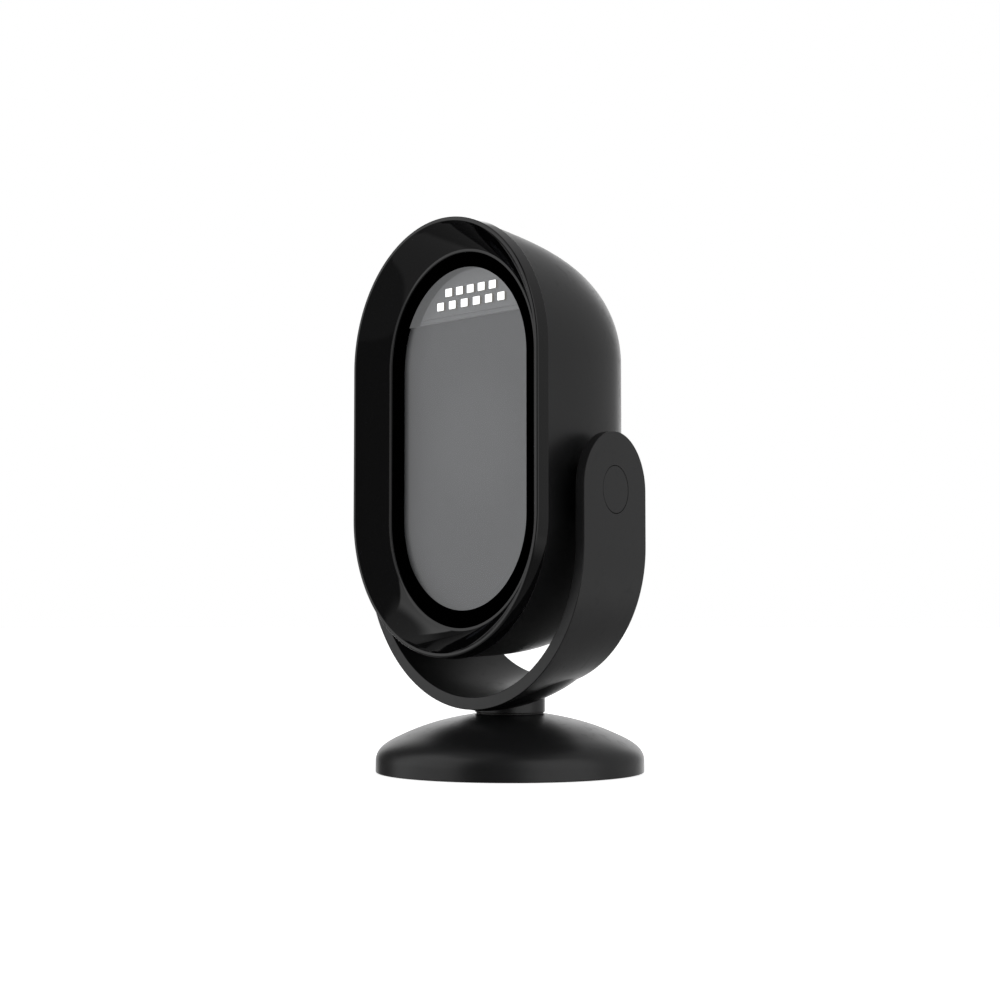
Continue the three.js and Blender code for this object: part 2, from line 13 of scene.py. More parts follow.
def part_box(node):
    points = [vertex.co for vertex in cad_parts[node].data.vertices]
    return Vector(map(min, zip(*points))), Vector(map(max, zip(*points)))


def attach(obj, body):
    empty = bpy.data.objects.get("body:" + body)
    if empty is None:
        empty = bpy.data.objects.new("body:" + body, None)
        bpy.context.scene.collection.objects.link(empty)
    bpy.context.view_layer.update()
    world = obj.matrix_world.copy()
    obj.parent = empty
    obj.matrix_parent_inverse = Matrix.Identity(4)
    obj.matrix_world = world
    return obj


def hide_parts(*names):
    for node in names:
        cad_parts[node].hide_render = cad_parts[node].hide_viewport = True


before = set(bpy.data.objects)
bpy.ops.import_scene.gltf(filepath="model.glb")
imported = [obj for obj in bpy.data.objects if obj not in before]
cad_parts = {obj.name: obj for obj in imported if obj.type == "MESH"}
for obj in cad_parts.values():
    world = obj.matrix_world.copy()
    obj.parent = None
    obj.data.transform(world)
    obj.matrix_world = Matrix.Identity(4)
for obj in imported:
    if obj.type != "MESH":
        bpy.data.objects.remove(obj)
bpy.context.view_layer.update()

MM = 0.001


def corners(node):
    """Lowest and highest corner of a CAD node, in millimetres."""
    low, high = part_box(node)
    return low / MM, high / MM


# ---------------------------------------------------------------- driving dimensions, from the frame

COVER_LOW, COVER_HIGH = corners("base_shell")
PLATE_LOW, PLATE_HIGH = corners("base_plate")
RING_HIGH = corners("foot_ring")[1]
BUSH_LOW, BUSH_HIGH = corners("swivel_bushing")
BEZEL_LOW, BEZEL_HIGH = corners("front_bezel")
REAR_HIGH = corners("rear_shell")[1]
MASK_LOW, MASK_HIGH = corners("window_mask")
PANE_LOW, PANE_HIGH = corners("window_pane")
FILTER_LOW, FILTER_HIGH = corners("filter_panel")
BOARD_LOW, BOARD_HIGH = corners("led_board")
SOCKET_LOW, SOCKET_HIGH = corners("cable_socket")

FOOT_RADIUS = COVER_HIGH.x
FOOT_WALL = 2.4
PAD_WIDTH = 4.0  # of the rubber ring
HUB_BORE = 9.4
HUB_OUTER = 12.4
NECK_RADIUS = 11.8
NECK_BOTTOM = BUSH_HIGH.z + 0.05
SPIGOT_RADIUS = 8.0

TAPER = math.radians(13.4)  # the band and its arms lean in towards the back
BAND_RADIUS = 50.3
BAND_HALF_WIDTH = 18.3  # along Y
BAND_THICKNESS = 3.6  # along the radius, halfway across
BAND_WEDGE = 0.5  # thicker by this at the front edge, thinner at the back
BAND_FILLET = 0.25
ARM_EXTRA = 0.4  # the arms' ends stand this much taller than half circles
BAND_CENTRE = 75.9  # height of the U's centre at its front edge
BAND_SAG = 0.033  # fall of that centre per millimetre of depth
SADDLE_START = 11.5  # the flare over the neck starts at this radius
SADDLE_REACH = 12.5
SADDLE_LOW = 23.7
SADDLE_SLOPE = 0.12  # rise per millimetre outwards, where it starts
SADDLE_CURVE = 0.046
SADDLE_LEAN = 0.25  # rise per millimetre of depth
SADDLE_STRETCH = 1.6  # of the half behind the neck
PIVOT_HEIGHT = 92.5
CAP_RADIUS = 7.6
CAP_GROOVE = 0.2
HUB_FACE = 44.6
HUB_RADIUS = 9.0
PIVOT_BORE = 3.8
COUNTERBORE = 5.5
COUNTERBORE_FLOOR = 45.8

HEAD_RADIUS = 47.0  # of the drafted surface, at the front plane
BEZEL_SIDE = BEZEL_HIGH.x
HEAD_FRONT = BEZEL_LOW.y
HEAD_BACK = REAR_HIGH.y
HEAD_CENTRE = (MASK_LOW.z + MASK_HIGH.z) / 2
HEAD_HALF_STRAIGHT = 25.7
HEAD_DRAFT = 0.146
HEAD_DROP = 0.128
DEPTH_POWER = 3.878
RADIUS_POWER = 3.148
SHELL_WALL = 2.2
SEAM = -26.0
BORDER_INNER = 31.4  # of the black border in front of the window
BOSS_RADIUS = 8.0
BOSS_FACE = 43.6

ARC_STEPS = 72  # round each half circle of the head
STRAIGHT_STEPS = 10
TURN_STEPS = 144  # round a full turn
ON_AXIS = 1e-9  # metres
WELD = 2e-6  # metres, the gap below which corners are joined


# ---------------------------------------------------------------- outlines

def rounded(corner_list, steps=5):
    """The closed outline through (x, y, radius) corners, with an arc of that radius at each corner."""
    outline = []
    for i, (x, y, radius) in enumerate(corner_list):
        if not radius:
            outline.append((x, y))
            continue
        here = Vector((x, y))
        before = (Vector(corner_list[i - 1][:2]) - here).normalized()
        after = (Vector(corner_list[(i + 1) % len(corner_list)][:2]) - here).normalized()
        half = before.angle(after) / 2
        centre = here + (before + after).normalized() * radius / math.sin(half)
        first = here + before * radius / math.tan(half) - centre
        last = here + after * radius / math.tan(half) - centre
        start = math.atan2(first.y, first.x)
        turn = (math.atan2(last.y, last.x) - start + math.pi) % (2 * math.pi) - math.pi
        for k in range(steps + 1):
            angle = start + turn * k / steps
            outline.append((centre.x + radius * math.cos(angle), centre.y + radius * math.sin(angle)))
    return outline


def bezier(points, steps):
    """Points along a Bezier curve of any degree, both ends included."""
    curve = []
    for i in range(steps + 1):
        share = i / steps
        level = [Vector(point) for point in points]
        while len(level) > 1:
            level = [a.lerp(b, share) for a, b in zip(level, level[1:])]
        curve.append(tuple(level[0]))
    return curve


def plain(points):
    """Outline corners with no arc."""
    return [(x, y, 0) for x, y in points]


def rounded_box(left, right, low, high, radius, steps=5):
    """A rectangle with rounded corners."""
    corner_list = [(left, low, radius), (right, low, radius), (right, high, radius), (left, high, radius)]
    return rounded(corner_list, steps)


def slab_outline(radius, bottom, top, edge):
    """Section of a disc or plate whose rim has rounded edges."""
    return rounded([(0, bottom, 0), (radius, bottom, edge), (radius, top, edge), (0, top, 0)])


def ring_outline(inner, outer, bottom, top, edge):
    """Section of a ring with rounded edges."""
    return rounded_box(inner, outer, bottom, top, edge)


# ---------------------------------------------------------------- meshes

def to_object(name, mesh):
    data = bpy.data.meshes.new(name)
    mesh.to_mesh(data)
    mesh.free()
    made = bpy.data.objects.new(name, data)
    bpy.context.scene.collection.objects.link(made)
    return made


def loft(name, rings, closed=True):
    """A closed mesh through rings of points in millimetres; the last ring meets the first if closed.

    Where an outline closes on its axis, nothing is made, so that no wall is left inside the piece.
    """
    mesh = bmesh.new()
    rows = [[mesh.verts.new(Vector(point) * MM) for point in ring] for ring in rings]
    following = rows[1:] + rows[:1] if closed else rows[1:]
    for row, other in zip(rows, following):
        for i, vertex in enumerate(row):
            j = (i + 1) % len(row)
            around = (vertex, other[i], other[j], row[j])
            if any(abs(corner.co.x) > ON_AXIS for corner in around):
                mesh.faces.new(around)
    bmesh.ops.remove_doubles(mesh, verts=mesh.verts, dist=WELD)
    bmesh.ops.recalc_face_normals(mesh, faces=mesh.faces)
    return to_object(name, mesh)


def turned(name, outline, steps=TURN_STEPS):
    """A solid turned about +Z from (radius, height) points."""
    rings = []
    for i in range(steps):
        angle = 2 * math.pi * i / steps
        rings.append([(r * math.cos(angle), r * math.sin(angle), z) for r, z in outline])
    return loft(name, rings)


def stadium(name, outline, drop=0.0):
    """A solid whose section across Y is a stadium, from (radius, depth) points."""
    arc = [math.pi * i / ARC_STEPS for i in range(ARC_STEPS)]
    run = [i / STRAIGHT_STEPS for i in range(STRAIGHT_STEPS)]
    stations = [(angle, 1.0) for angle in arc]
    stations += [(math.pi, 1 - share) for share in run]
    stations += [(math.pi + angle, 0.0) for angle in arc]
    stations += [(0.0, share) for share in run]
    upper = HEAD_CENTRE + HEAD_HALF_STRAIGHT
    rings = []
    for angle, share in stations:
        ring = []
        for radius, depth in outline:
            lower = HEAD_CENTRE - HEAD_HALF_STRAIGHT - drop * (depth - HEAD_FRONT)
            height = lower + share * (upper - lower) + radius * math.sin(angle)
            ring.append((radius * math.cos(angle), depth, height))
        rings.append(ring)
    return loft(name, rings)


def prism(name, outline, front, back, edge=0.0):
    """An outline of (x, z) points run along Y, its edges bevelled."""
    mesh = bmesh.new()
    lids = []
    for depth in (front, back):
        lids.append(mesh.faces.new([mesh.verts.new(Vector((x, depth, z)) * MM) for x, z in outline]))
    near, far = [list(lid.verts) for lid in lids]
    for i, vertex in enumerate(near):
        j = (i + 1) % len(near)
        mesh.faces.new((vertex, far[i], far[j], near[j]))
    bmesh.ops.recalc_face_normals(mesh, faces=mesh.faces)
    if edge:
        rims = [e for e in mesh.edges if e.verts[0].co.y == e.verts[1].co.y]
        bmesh.ops.bevel(mesh, geom=rims, offset=edge * MM, segments=3, profile=0.5, affect="EDGES")
    return to_object(name, mesh)


def moved(obj, matrix):
    """The object's mesh under a matrix in millimetres, with its faces still pointing out."""
    scale = Matrix.Scale(MM, 4)
    obj.data.transform(scale @ matrix @ scale.inverted())
    if matrix.determinant() < 0:
        obj.data.flip_normals()
    return obj


def copied(obj, name):
    made = bpy.data.objects.new(name, obj.data.copy())
    bpy.context.scene.collection.objects.link(made)
    return made


ALONG_X = Matrix.Rotation(math.pi / 2, 4, "Y")
ALONG_Y = Matrix.Rotation(-math.pi / 2, 4, "X")
MIRROR = Matrix.Scale(-1, 4, (1, 0, 0))
TO_PIVOT = Matrix.Translation((0, 0, PIVOT_HEIGHT))
TO_ARM = Matrix.Translation((BAND_RADIUS, 0, PIVOT_HEIGHT)) @ Matrix.Rotation(TAPER, 4, "Z") @ ALONG_X


def combined(obj, tools, operation):
    """The object joined with, or cut by, the tools, which are used up."""
    for tool in tools:
        modifier = obj.modifiers.new(operation, "BOOLEAN")
        modifier.operation = operation
        modifier.solver = "EXACT"
        modifier.object = tool
    evaluated = obj.evaluated_get(bpy.context.evaluated_depsgraph_get())
    result = bpy.data.meshes.new_from_object(evaluated)
    obj.modifiers.clear()
    obj.data = result
    for tool in tools:
        bpy.data.objects.remove(tool)
    return obj


def shade(obj, limit=28):
    """Welds the mesh's seams, fills slivers left there and shades it smooth, with sharp edges kept.

    An edge is sharp where its faces meet at more than the limit, in degrees.
    """
    mesh = bmesh.new()
    mesh.from_mesh(obj.data)
    bmesh.ops.remove_doubles(mesh, verts=mesh.verts, dist=WELD)
    bmesh.ops.dissolve_degenerate(mesh, edges=mesh.edges, dist=WELD)
    bmesh.ops.holes_fill(mesh, edges=mesh.edges, sides=6)
    bmesh.ops.recalc_face_normals(mesh, faces=mesh.faces)
    for face in mesh.faces:
        face.smooth = True
    for edge in mesh.edges:
        edge.smooth = len(edge.link_faces) == 2 and edge.calc_face_angle() < math.radians(limit)
    mesh.to_mesh(obj.data)
    mesh.free()
    weighted = obj.modifiers.new("weighted_normals", "WEIGHTED_NORMAL")
    weighted.keep_sharp = True


def fit(obj, body, material, slot, *nodes):
    """The piece shaded, painted, riding on its body and standing for its CAD nodes."""
    shade(obj)
    obj.data.materials.clear()
    obj.data.materials.append(material)
    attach(obj, body)
    if nodes:
        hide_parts(*nodes)
    return obj


# ---------------------------------------------------------------- materials

def add(tree, kind, inputs=None, **settings):
    """A node with its settings, and its inputs as numbers or as other nodes' outputs."""
    node = tree.nodes.new(kind)
    for key, value in settings.items():
        setattr(node, key, value)
    for key, value in (inputs or {}).items():
        if isinstance(value, bpy.types.NodeSocket):
            tree.links.new(value, node.inputs[key])
        else:
            node.inputs[key].default_value = value
    return node


def new_tree(name):
    """A new material, its emptied node tree and its object coordinates in millimetres."""
    material = bpy.data.materials.new(name)
    material.use_nodes = True
    tree = material.node_tree
    tree.nodes.clear()
    place = add(tree, "ShaderNodeTexCoord").outputs["Object"]
    scaled = add(tree, "ShaderNodeVectorMath", {0: place, "Scale": 1 / MM}, operation="SCALE")
    return material, tree, scaled.outputs["Vector"]


def noise(tree, place, size, detail=2.0, roughness=0.5, distortion=0.0):
    """Noise between 0 and 1 whose lumps are about size millimetres across."""
    inputs = {"Vector": place, "Scale": 1 / size, "Detail": detail}
    inputs.update({"Roughness": roughness, "Distortion": distortion})
    return add(tree, "ShaderNodeTexNoise", inputs).outputs["Fac"]


def spread(tree, value, low, high, start=0.0, end=1.0, kind="LINEAR"):
    """The value, from start to end, spread over low to high."""
    inputs = {"Value": value, "From Min": start, "From Max": end, "To Min": low, "To Max": high}
    return add(tree, "ShaderNodeMapRange", inputs, interpolation_type=kind, clamp=True).outputs["Result"]


def plus(tree, first, second):
    return add(tree, "ShaderNodeMath", {0: first, 1: second}, operation="ADD").outputs["Value"]


def times(tree, first, second):
    return add(tree, "ShaderNodeMath", {0: first, 1: second}, operation="MULTIPLY").outputs["Value"]


def tint(tree, share, first, second):
    """A colour between two, by share."""
    mix = add(tree, "ShaderNodeMix", {"Factor": share}, data_type="RGBA")
    mix.inputs["A"].default_value = (*first, 1)
    mix.inputs["B"].default_value = (*second, 1)
    return mix.outputs["Result"]


def bump(tree, height, depth, normal=None):
    """A bump whose height of 1 stands depth millimetres proud."""
    inputs = {"Height": height, "Distance": depth * MM, "Strength": 1.0}
    if normal is not None:
        inputs["Normal"] = normal
    return add(tree, "ShaderNodeBump", inputs).outputs["Normal"]


def surface(tree, shader):
    add(tree, "ShaderNodeOutputMaterial", {"Surface": shader})


def principled(tree, colour, roughness, normal=None, **others):
    inputs = {"Base Color": colour, "Roughness": roughness}
    if normal is not None:
        inputs["Normal"] = normal
    for key, value in others.items():
        inputs[key.replace("_", " ")] = value
    return add(tree, "ShaderNodeBsdfPrincipled", inputs).outputs["BSDF"]


def moulded_plastic(name, dark, light, roughness, grain, grain_depth):
    """Textured injection moulding: fine spark-eroded grain, slight waviness, faint handling marks."""
    material, tree, place = new_tree(name)
    cloud = noise(tree, place, 26, 3)
    grit = noise(tree, place, grain, 3, 0.65)
    marks = noise(tree, place, 5, 4, 0.6, 1.5)
    share = spread(tree, plus(tree, cloud, times(tree, grit, 0.5)), 0, 1, 0.45, 1.05)
    colour = tint(tree, share, dark, light)
    worn = spread(tree, marks, 0, 0.07, 0.52, 0.75, "SMOOTHSTEP")
    rough = plus(tree, spread(tree, cloud, roughness - 0.03, roughness + 0.03, 0.3, 0.7), worn)
    waves = bump(tree, noise(tree, place, 14, 1), 0.03)
    normal = bump(tree, grit, grain_depth, normal=waves)
    surface(tree, principled(tree, colour, rough, normal))
    return material


def piano_black(name):
    """Polished black: a clear skin with faint orange peel, hairline scratches and a little dust."""
    material, tree, place = new_tree(name)
    peel = noise(tree, place, 4.5, 2)
    upright = add(tree, "ShaderNodeMapping", {"Vector": place, "Scale": (3.0, 3.0, 0.12)}).outputs[0]
    hair = noise(tree, upright, 1.2, 3)
    dust = add(tree, "ShaderNodeTexVoronoi", {"Vector": place, "Scale": 0.7}).outputs["Distance"]
    speck = spread(tree, dust, 1, 0, 0.03, 0.07)
    colour = tint(tree, speck, (0.0035, 0.0035, 0.0038), (0.02, 0.02, 0.02))
    scuffed = spread(tree, hair, 0.045, 0.075, 0.45, 0.75)
    rough = plus(tree, scuffed, times(tree, speck, 0.3))
    normal = bump(tree, peel, 0.0016)
    surface(tree, principled(tree, colour, rough, normal))
    return material


def printed_black(name):
    """The black border in front of the window: a dense print that hardly reflects."""
    material, tree, place = new_tree(name)
    grain = noise(tree, place, 0.25, 2)
    colour = tint(tree, grain, (0.0002, 0.0002, 0.0002), (0.0004, 0.0004, 0.0004))
    rough = spread(tree, noise(tree, place, 6, 2), 0.55, 0.7)
    normal = bump(tree, grain, 0.002)
    surface(tree, principled(tree, colour, rough, normal, Specular_IOR_Level=0.0))
    return material


def clear_pane(name):
    """Anti-reflection coated pane: what is behind it shows through, with a weak reflection on top."""
    material, tree, place = new_tree(name)
    smear = noise(tree, place, 12, 3, 0.6, 0.8)
    through = add(tree, "ShaderNodeBsdfTransparent", {"Color": (0.955, 0.96, 0.965, 1)}).outputs["BSDF"]
    rough = spread(tree, smear, 0.02, 0.05, 0.4, 0.7)
    coating = {"Color": (0.8, 0.85, 1.0, 1), "Roughness": rough}
    mirror = add(tree, "ShaderNodeBsdfGlossy", coating).outputs["BSDF"]
    edge_on = add(tree, "ShaderNodeFresnel", {"IOR": 1.08}).outputs["Fac"]
    share = times(tree, edge_on, spread(tree, smear, 0.94, 1.0))
    mix = add(tree, "ShaderNodeMixShader", {0: share, 1: through, 2: mirror})
    surface(tree, mix.outputs["Shader"])
    return material


def from_middle(tree, place):
    """Distance of a place from the head's upright middle line, the centre line of every stadium."""
    x, _, z = add(tree, "ShaderNodeSeparateXYZ", {"Vector": place}).outputs
    low, high = HEAD_CENTRE - HEAD_HALF_STRAIGHT, HEAD_CENTRE + HEAD_HALF_STRAIGHT
    nearest = spread(tree, z, low, high, low, high)
    rise = add(tree, "ShaderNodeMath", {0: z, 1: nearest}, operation="SUBTRACT").outputs["Value"]
    across = add(tree, "ShaderNodeCombineXYZ", {"X": x, "Z": rise}).outputs["Vector"]
    return add(tree, "ShaderNodeVectorMath", {0: across}, operation="LENGTH").outputs["Value"]


def filter_sheet(name):
    """Grey filter sheet with a painted glow: a painted pool of light round its middle, and painted shadow
    behind the border.
    """
    material, tree, place = new_tree(name)
    centre = (0, FILTER_LOW.y, HEAD_CENTRE)
    away = add(tree, "ShaderNodeVectorMath", {0: place, 1: centre}, operation="DISTANCE").outputs["Value"]
    # Painted pool of light: lighter round the middle, fading out by 34 mm from it.
    glow = spread(tree, away, 1, 0, 6, 34, "SMOOTHERSTEP")
    grain = noise(tree, place, 0.35, 3, 0.6)
    share = plus(tree, times(tree, glow, 0.55), times(tree, grain, 0.25))
    # The colour is lighter where that painted light falls, with grain at random.
    colour = tint(tree, share, (0.06, 0.06, 0.061), (0.08, 0.08, 0.081))
    rough = spread(tree, grain, 0.5, 0.6)
    normal = bump(tree, grain, 0.004)
    # Painted shadow behind the border: the glow falls to a fifth there.
    clear = spread(tree, from_middle(tree, place), 1, 0.2, BORDER_INNER + 2, FILTER_HIGH.x, "SMOOTHSTEP")
    # The sheet glows though it is no lamp: this emission is painted light.
    painted_glow_strength = times(tree, clear, spread(tree, share, 0.136, 0.152))
    shader = principled(tree, colour, rough, normal, Specular_IOR_Level=0.2,
                        Emission_Color=(1, 1, 1, 1), Emission_Strength=painted_glow_strength)
    surface(tree, shader)
    return material


def board_cover(name):
    """Satin light grey cover round the LEDs, with a painted glow that is dimmed as painted shade in its
    groove and as painted shadow behind the border.
    """
    material, tree, place = new_tree(name)
    grain = noise(tree, place, 0.3, 3, 0.6)
    cloud = plus(tree, noise(tree, place, 9, 2), times(tree, grain, 0.2))
    depth = add(tree, "ShaderNodeSeparateXYZ", {"Vector": place}).outputs["Y"]
    # Painted shade in the groove: the glow is weaker below the front face.
    raised = spread(tree, depth, 1, 0, BOARD_LOW.y + 0.05, BOARD_LOW.y + 0.3)
    out = from_middle(tree, place)
    # Painted shadow behind the border.
    clear = spread(tree, out, 1, 0.8, BORDER_INNER, BORDER_INNER + 0.7, "SMOOTHSTEP")
    # The cover glows though it is no lamp: this emission is painted light.
    painted_glow_strength = times(tree, clear, spread(tree, raised, 0.15, 0.185))
    colour = tint(tree, cloud, (0.1, 0.1, 0.102), (0.13, 0.13, 0.132))
    rough = spread(tree, grain, 0.4, 0.52)
    shader = principled(tree, colour, rough, bump(tree, grain, 0.004), Specular_IOR_Level=0.2,
                        Emission_Color=(1, 1, 1, 1), Emission_Strength=painted_glow_strength)
    surface(tree, shader)
    return material


def lit_led(name):
    """White LED: a bright face, with dimmer and warmer moulded sides."""
    material, tree, place = new_tree(name)
    grain = noise(tree, place, 0.4, 2)
    normal = add(tree, "ShaderNodeTexCoord").outputs["Normal"]
    ahead = add(tree, "ShaderNodeSeparateXYZ", {"Vector": normal}).outputs["Y"]
    cap = spread(tree, ahead, 0, 1, -0.5, -0.98, "SMOOTHSTEP")
    glow = tint(tree, cap, (1.0, 0.93, 0.8), (1.0, 1.0, 1.0))
    strength = times(tree, spread(tree, cap, 0.12, 1.35), spread(tree, grain, 0.94, 1.06))
    rough = spread(tree, grain, 0.3, 0.4)
    base = tint(tree, cap, (0.3, 0.3, 0.29), (0.8, 0.8, 0.78))
    shader = principled(tree, base, rough, bump(tree, grain, 0.005),
                        Emission_Color=glow, Emission_Strength=strength)
    surface(tree, shader)
    return material


def metal(name, dark, light, roughness, streak):
    """Turned or plated metal with fine streaks and slight tarnish."""
    material, tree, place = new_tree(name)
    stretched = add(tree, "ShaderNodeMapping", {"Vector": place, "Scale": streak}).outputs[0]
    streaks = noise(tree, stretched, 0.5, 4, 0.7)
    tarnish = noise(tree, place, 2.5, 3)
    colour = tint(tree, plus(tree, times(tree, streaks, 0.5), times(tree, tarnish, 0.5)), dark, light)
    rough = spread(tree, streaks, roughness - 0.08, roughness + 0.12, 0.3, 0.7)
    surface(tree, principled(tree, colour, rough, bump(tree, streaks, 0.006), Metallic=1.0))
    return material


def rubber(name):
    """Soft black rubber with a fine moulded tooth and a bloom of grey."""
    material, tree, place = new_tree(name)
    tooth = noise(tree, place, 0.5, 4, 0.7)
    bloom = noise(tree, place, 8, 3)
    colour = tint(tree, bloom, (0.006, 0.006, 0.006), (0.02, 0.02, 0.019))
    rough = spread(tree, tooth, 0.78, 0.95)
    surface(tree, principled(tree, colour, rough, bump(tree, tooth, 0.03), Specular_IOR_Level=0.3))
    return material


def circuit_board(name):
    """Green solder mask over a grid of copper tracks."""
    material, tree, place = new_tree(name)
    upright = {"Vector": place, "Rotation": (math.pi / 2, 0, 0)}
    tracks = add(tree, "ShaderNodeTexBrick", {
        "Vector": add(tree, "ShaderNodeMapping", upright).outputs[0],
        "Color1": (0, 0, 0, 1), "Color2": (0, 0, 0, 1), "Mortar": (1, 1, 1, 1),
        "Scale": 1.0, "Mortar Size": 0.16, "Brick Width": 3.2, "Row Height": 1.1, "Mortar Smooth": 0.2,
    }).outputs["Color"]
    colour = tint(tree, tracks, (0.008, 0.07, 0.028), (0.02, 0.16, 0.07))
    rough = spread(tree, noise(tree, place, 3, 2), 0.28, 0.4)
    surface(tree, principled(tree, colour, rough, bump(tree, tracks, 0.03), Coat_Weight=0.3))
    return material


def coated_lens(name):
    """Dark lens with a bluish coating, whose reflection is painted into its colour towards grazing angles."""
    material, tree, place = new_tree(name)
    # Painted reflection of the coating: the colour turns lighter and bluer towards grazing angles.
    facing = add(tree, "ShaderNodeLayerWeight", {"Blend": 0.4}).outputs["Facing"]
    colour = tint(tree, facing, (0.006, 0.006, 0.012), (0.03, 0.02, 0.08))
    rough = spread(tree, noise(tree, place, 2, 2), 0.02, 0.05)
    surface(tree, principled(tree, colour, rough, Coat_Weight=1.0, Coat_Roughness=0.02))
    return material


def flat_cable(name):
    """Pale flat cable with its conductors showing as fine ribs."""
    material, tree, place = new_tree(name)
    wave = add(tree, "ShaderNodeTexWave", {"Vector": place, "Scale": 0.32}, bands_direction="X")
    ribs = wave.outputs["Fac"]
    colour = tint(tree, ribs, (0.42, 0.39, 0.32), (0.68, 0.65, 0.57))
    rough = spread(tree, noise(tree, place, 1.5, 2), 0.45, 0.6)
    surface(tree, principled(tree, colour, rough, bump(tree, ribs, 0.05)))
    return material


MATT = moulded_plastic("grained_black", (0.0075, 0.0076, 0.008), (0.0115, 0.0117, 0.0125), 0.33, 0.28, 0.005)
GLOSS = piano_black("polished_black")
PRINT = printed_black("printed_black")
CLEAR = clear_pane("coated_pane")
FILTER = filter_sheet("grey_sheet")
COVER = board_cover("grey_cover")
LED = lit_led("lit_white")
GREEN = circuit_board("solder_mask")
LENS = coated_lens("coated_glass")
RIBBON = flat_cable("flat_cable")
RUBBER = rubber("soft_rubber")
BUSH = moulded_plastic("acetal_black", (0.004, 0.004, 0.004), (0.008, 0.008, 0.008), 0.5, 0.4, 0.004)
STEEL = metal("plated_steel", (0.38, 0.39, 0.4), (0.6, 0.61, 0.62), 0.34, (1, 1, 0.15))
BRASS = metal("turned_brass", (0.42, 0.3, 0.11), (0.68, 0.53, 0.24), 0.3, (0.15, 1, 1))


# ---------------------------------------------------------------- foot

def dome(inset, steps):
    """The cover's surface from the rim up to the neck, ever flatter."""
    rim = [(FOOT_RADIUS - inset, 4), (FOOT_RADIUS - inset, 8 - inset * 0.3),
           (FOOT_RADIUS - 3.5 - inset, 10.2 - inset * 0.8), (36, 12.6 - inset)]
    slope = [(36, 12.6 - inset), (27.5, 16.55 - inset), (20, 18.2 - inset), (12.5, COVER_HIGH.z - inset)]
    return bezier(rim, steps) + bezier(slope, steps)[1:]


def screw_places():
    """The foot's screws: each CAD node with its axis, x and y, and the height of its top."""
    places = []
    for i in (1, 2, 3):
        low, high = corners(f"base_screw_{i}")
        places.append((f"base_screw_{i}", (low.x + high.x) / 2, (low.y + high.y) / 2, high.z))
    return places


def foot_cover():
    low = COVER_LOW.z
    seat = PLATE_HIGH.z + 0.3
    inner_edge = PLATE_HIGH.x + 0.3
    outline = rounded([
        (inner_edge, low, 0.2), (FOOT_RADIUS, low, 0.35), *plain(dome(0, 20)),
        (HUB_BORE, COVER_HIGH.z, 0.25), (HUB_BORE, BUSH_LOW.z, 0.2), (HUB_OUTER, BUSH_LOW.z, 0.2),
        *plain(reversed(dome(FOOT_WALL, 12)[:-1])), (FOOT_RADIUS - FOOT_WALL, seat, 0), (inner_edge, seat, 0),
    ])
    cover = turned("foot_cover", outline)
    bore, outer, top = 1.6, 3.6, 13.6
    bosses = []
    for _, x, y, _ in screw_places():
        boss = turned("boss", ring_outline(bore, outer, seat, top, 0.1), 48)
        bosses.append(moved(boss, Matrix.Translation((x, y, 0))))
    return combined(cover, bosses, "UNION")


def foot_plate():
    low = PLATE_LOW.z
    groove_top = RING_HIGH.z + 0.1
    groove_inner = RING_HIGH.x - PAD_WIDTH - 0.3
    groove_outer = RING_HIGH.x + 0.3
    outline = rounded([
        (0, low, 0), (groove_inner, low, 0.1), (groove_inner, groove_top, 0.1),
        (groove_outer, groove_top, 0.1), (groove_outer, low, 0.1), (PLATE_HIGH.x, low, 0.3),
        (PLATE_HIGH.x, PLATE_HIGH.z, 0.2), (0, PLATE_HIGH.z, 0),
    ])
    plate = turned("foot_plate", outline)
    bore, wide, floor_height = 1.7, 3.4, 1.9
    holes = []
    for _, x, y, _ in screw_places():
        steps = [(0, -1), (wide, -1), (wide, floor_height), (bore, floor_height), (bore, 5), (0, 5)]
        holes.append(moved(turned("hole", steps, 48), Matrix.Translation((x, y, 0))))
    return combined(plate, holes, "DIFFERENCE")


def screw(name, shank, length, head, head_height, place):
    """A pan-head screw, its tip at height 0, with a cross recess in its crowned head."""
    top = length + head_height
    outline = rounded([
        (0, 0, 0), (shank * 0.6, 0, 0), (shank, shank * 0.5, 0.1), (shank, length, 0.1),
        (head, length, head_height * 0.2), (head, top, head_height * 0.55), (0, top + 0.02, 0),
    ])
    body = turned(name, outline, 48)
    arm = head * 0.52
    half = head * 0.12
    floor = length + head_height * 0.5
    outline = [(-half, -arm), (half, -arm), (half, -half), (arm, -half), (arm, half), (half, half),
               (half, arm), (-half, arm), (-half, half), (-arm, half), (-arm, -half), (-half, -half)]
    # The prism runs along Y; turned about X it runs up Z.
    recess = moved(prism("recess", outline, floor, top + 1), Matrix.Rotation(math.pi / 2, 4, "X"))
    return moved(combined(body, [recess], "DIFFERENCE"), place)


